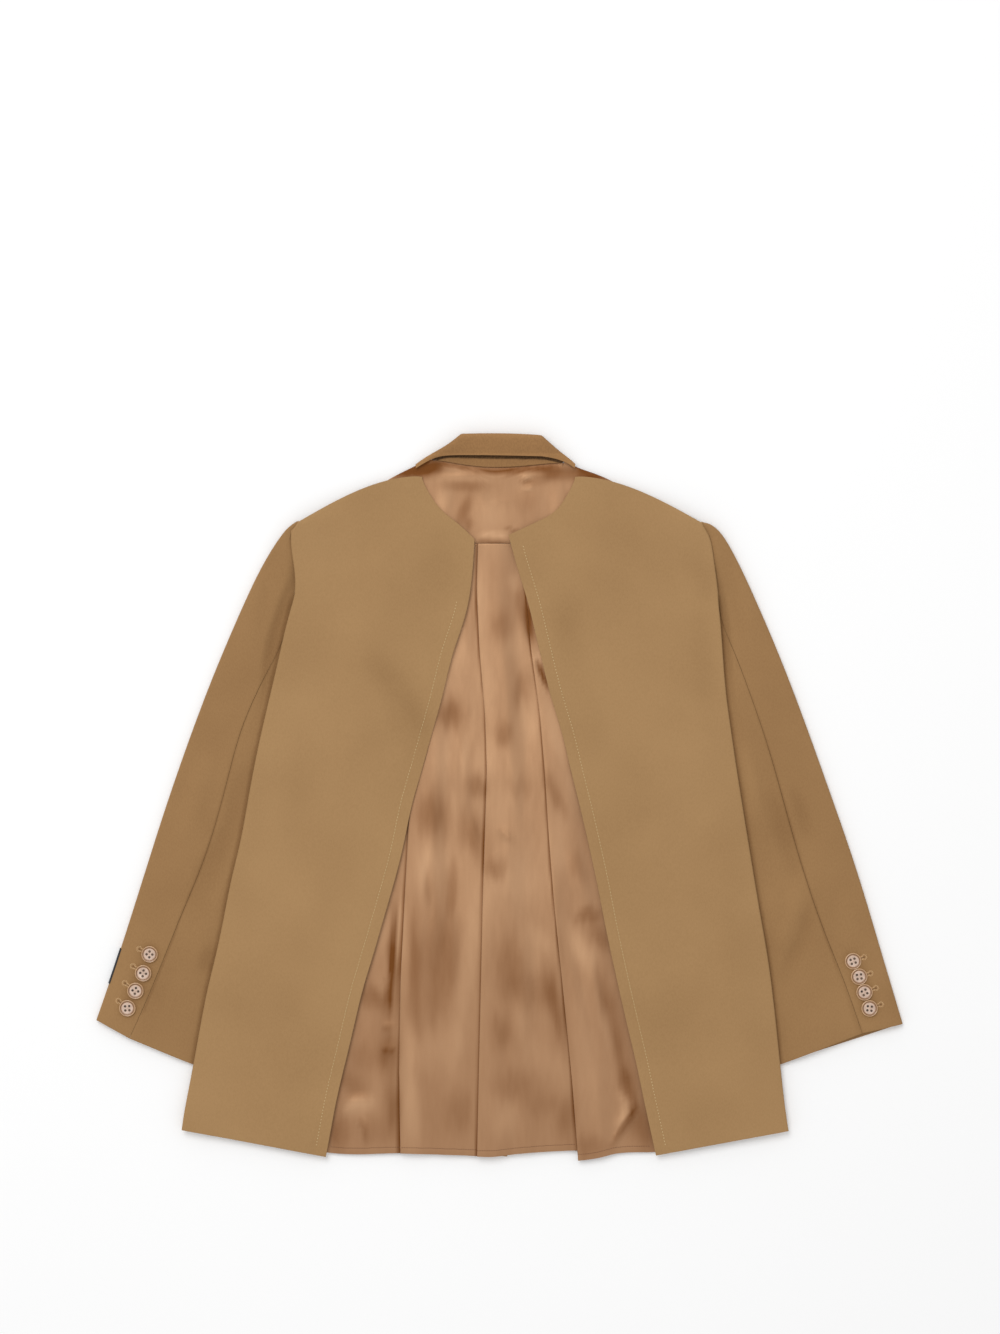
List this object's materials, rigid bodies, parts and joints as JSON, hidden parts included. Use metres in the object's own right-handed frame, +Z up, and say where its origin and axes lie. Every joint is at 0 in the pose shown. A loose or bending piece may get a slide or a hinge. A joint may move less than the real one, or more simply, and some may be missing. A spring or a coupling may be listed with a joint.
{
  "type": "blazer laid flat",
  "caption": "Camel wool blazer laid face down, its back cut open over a pleated copper satin lining.",
  "frame": {"origin": "centre of the bounding box, on the surface that the blazer lies on", "axes": "+X across the garment to the wearer's right, +Y from the hem to the collar, +Z up from the surface"},
  "size_m": [0.888, 0.8, 0.0148],
  "materials": {
    "wool": "matte",
    "satin": "satin",
    "button": "gloss",
    "label": "matte"
  },
  "bodies": {
    "root": {"front_right": "wool", "front_left": "wool", "back_left": "wool", "back_right": "wool", "top_sleeve_left": "wool", "top_sleeve_right": "wool", "under_sleeve_left": "wool", "under_sleeve_right": "wool", "lapel_left": "wool", "lapel_right": "wool", "collar_end_left": "wool", "collar_end_right": "wool", "collar_stand": "wool", "collar_fall": "wool", "lining_yoke": "satin", "lining_skirt": "satin", "sleeve_label": "label", "cuff_button_left_1": "button", "cuff_button_left_2": "button", "cuff_button_left_3": "button", "cuff_button_left_4": "button", "cuff_button_right_1": "button", "cuff_button_right_2": "button", "cuff_button_right_3": "button", "cuff_button_right_4": "button"}
  },
  "joints": []
}
